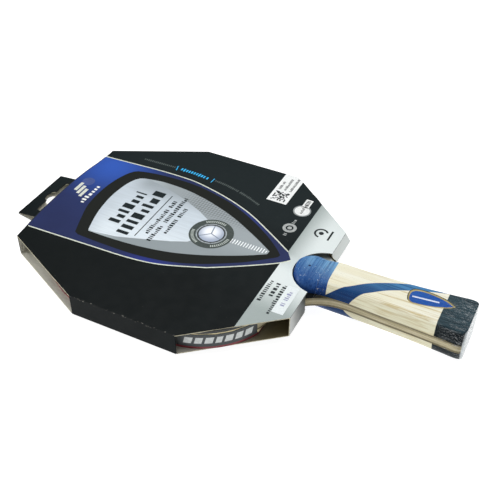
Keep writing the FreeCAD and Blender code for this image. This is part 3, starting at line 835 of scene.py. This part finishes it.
def head_point(distance, grow):
    """A point on the near side of the head's outline.

    distance is from where the straight side ends: positive towards the handle.
    """
    straight = SHOULDER_X - HEAD_X
    if distance >= 0:
        turn = distance / SHOULDER_R
        r = SHOULDER_R + grow
        return SHOULDER_X + r * math.sin(turn), -(HEAD_R - SHOULDER_R) - r * math.cos(turn)
    if distance >= -straight:
        return SHOULDER_X + distance, -HEAD_R - grow
    turn = (-distance - straight) / HEAD_R
    r = HEAD_R + grow
    return HEAD_X - r * math.sin(turn), -r * math.cos(turn)


TAPE_END = SHOULDER_R * math.asin((CUT_X - 0.6 - SHOULDER_X) / SHOULDER_R)
TAPE_START = -(SHOULDER_X - HEAD_X) - HEAD_R * math.pi / 2


def tape():
    """Edge tape all round the head, its upper edge a little wavy where it was trimmed."""
    points, faces = [], []
    count = 260
    half = [TAPE_END + (TAPE_START - TAPE_END) * i / count for i in range(count + 1)]
    low, high = -11.75, -3.0
    route = [(d, 1) for d in half] + [(d, -1) for d in reversed(half[:-1])]
    for n, (distance, side) in enumerate(route):
        wave = 0.22 * math.sin(n * 0.19) + 0.14 * math.sin(n * 0.53 + 1.2)
        for grow, z in ((0.3, low), (0.3, high + wave), (0.03, high + 0.05 + wave), (0.03, low)):
            x, y = head_point(distance, grow)
            points.append(at(x, y * side, z))
    for n in range(len(route) - 1):
        a, b = 4 * n, 4 * n + 4
        for k in range(4):
            j = (k + 1) % 4
            faces.append((a + k, a + j, b + j, b + k))
    faces += [(3, 2, 1, 0), tuple(4 * (len(route) - 1) + k for k in range(4))]
    piece = make("edge_tape_band", points, faces, tape_fabric(), "paddle")
    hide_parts("edge_tape")


def tape_marks():
    """Three runs of plain slanted bars along the tape."""
    points, faces = [], []
    gap, steps = 1.5, 4
    for distance in (-128.0, -58.0, 12.0):
        for width in (4.4, 4.0, 4.4, 3.4, 4.4, 4.0, 4.6):
            for k in range(steps + 1):
                n = len(points)
                for z, lean in ((-9.4, 0.0), (-5.0, 1.2)):
                    x, y = head_point(distance + width * k / steps + lean, 0.33)
                    points.append(at(x, y, z))
                if k < steps:
                    faces.append((n, n + 2, n + 3, n + 1))
            distance += width + gap
    make("tape_marks", points, faces, ink("ink_tape", "cfd4d3", "e1e5e4", 0.5), "paddle")


tape()
tape_marks()


# ---- Floor, light and camera ----

def stage():
    """The object rests on the tab's crease and the lower scale's front edge, so the floor leans."""
    scale_edge, tab_crease = 160.5, -12
    front, back = at(scale_edge, 0).x, at(tab_crease, 0).x
    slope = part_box("bottom_panel")[0].z / (front - back)
    reach, drop = 3.0, 0.0002
    corners = [(-reach, -reach), (reach, -reach), (reach, reach), (-reach, reach)]
    mesh = bpy.data.meshes.new("floor")
    mesh.from_pydata([(x, y, (front - x) * slope - drop) for x, y in corners], [], [(0, 1, 2, 3)])
    mesh.materials.append(floor_finish())
    floor = bpy.data.objects.new("floor", mesh)
    bpy.context.scene.collection.objects.link(floor)


def lamp(name, place, target, size, power):
    """A round soft light that faces target."""
    data = bpy.data.lights.new(name, "AREA")
    data.shape = "DISK"
    data.size = size
    data.energy = power
    lamp_object = bpy.data.objects.new(name, data)
    lamp_object.location = place
    lamp_object.rotation_euler = (Vector(target) - Vector(place)).to_track_quat("-Z", "Y").to_euler()
    bpy.context.scene.collection.objects.link(lamp_object)


def light():
    """An even pale room, a wide lamp overhead and a smaller one at the near header side."""
    world = bpy.data.worlds.new("studio")
    world.use_nodes = True
    world.node_tree.nodes["Background"].inputs["Color"].default_value = (1, 1, 1, 1)
    world.node_tree.nodes["Background"].inputs["Strength"].default_value = 0.22
    bpy.context.scene.world = world
    lamp("key", (-0.2, 0.45, 1.6), (0, 0, 0), 2.2, 30)
    lamp("side", (-1.3, -0.6, 0.3), (-0.06, -0.05, 0.01), 0.6, 15)


def camera():
    """Looks down at the sleeve's near front, a little to the right."""
    data = bpy.data.cameras.new("camera")
    data.sensor_width = 36
    data.lens = 61.41
    view = bpy.data.objects.new("camera", data)
    azimuth, elevation, distance = math.radians(26.904), math.radians(40.005), 0.513498
    level = math.cos(elevation)
    back = Vector((math.sin(azimuth) * level, -math.cos(azimuth) * level, math.sin(elevation)))
    target = at(117.61, 17.625, -14.0)
    view.location = target + back * distance
    view.rotation_euler = (-back).to_track_quat("-Z", "Y").to_euler()
    bpy.context.scene.collection.objects.link(view)
    bpy.context.scene.camera = view


stage()
light()
camera()
bpy.context.scene.view_settings.view_transform = "Standard"
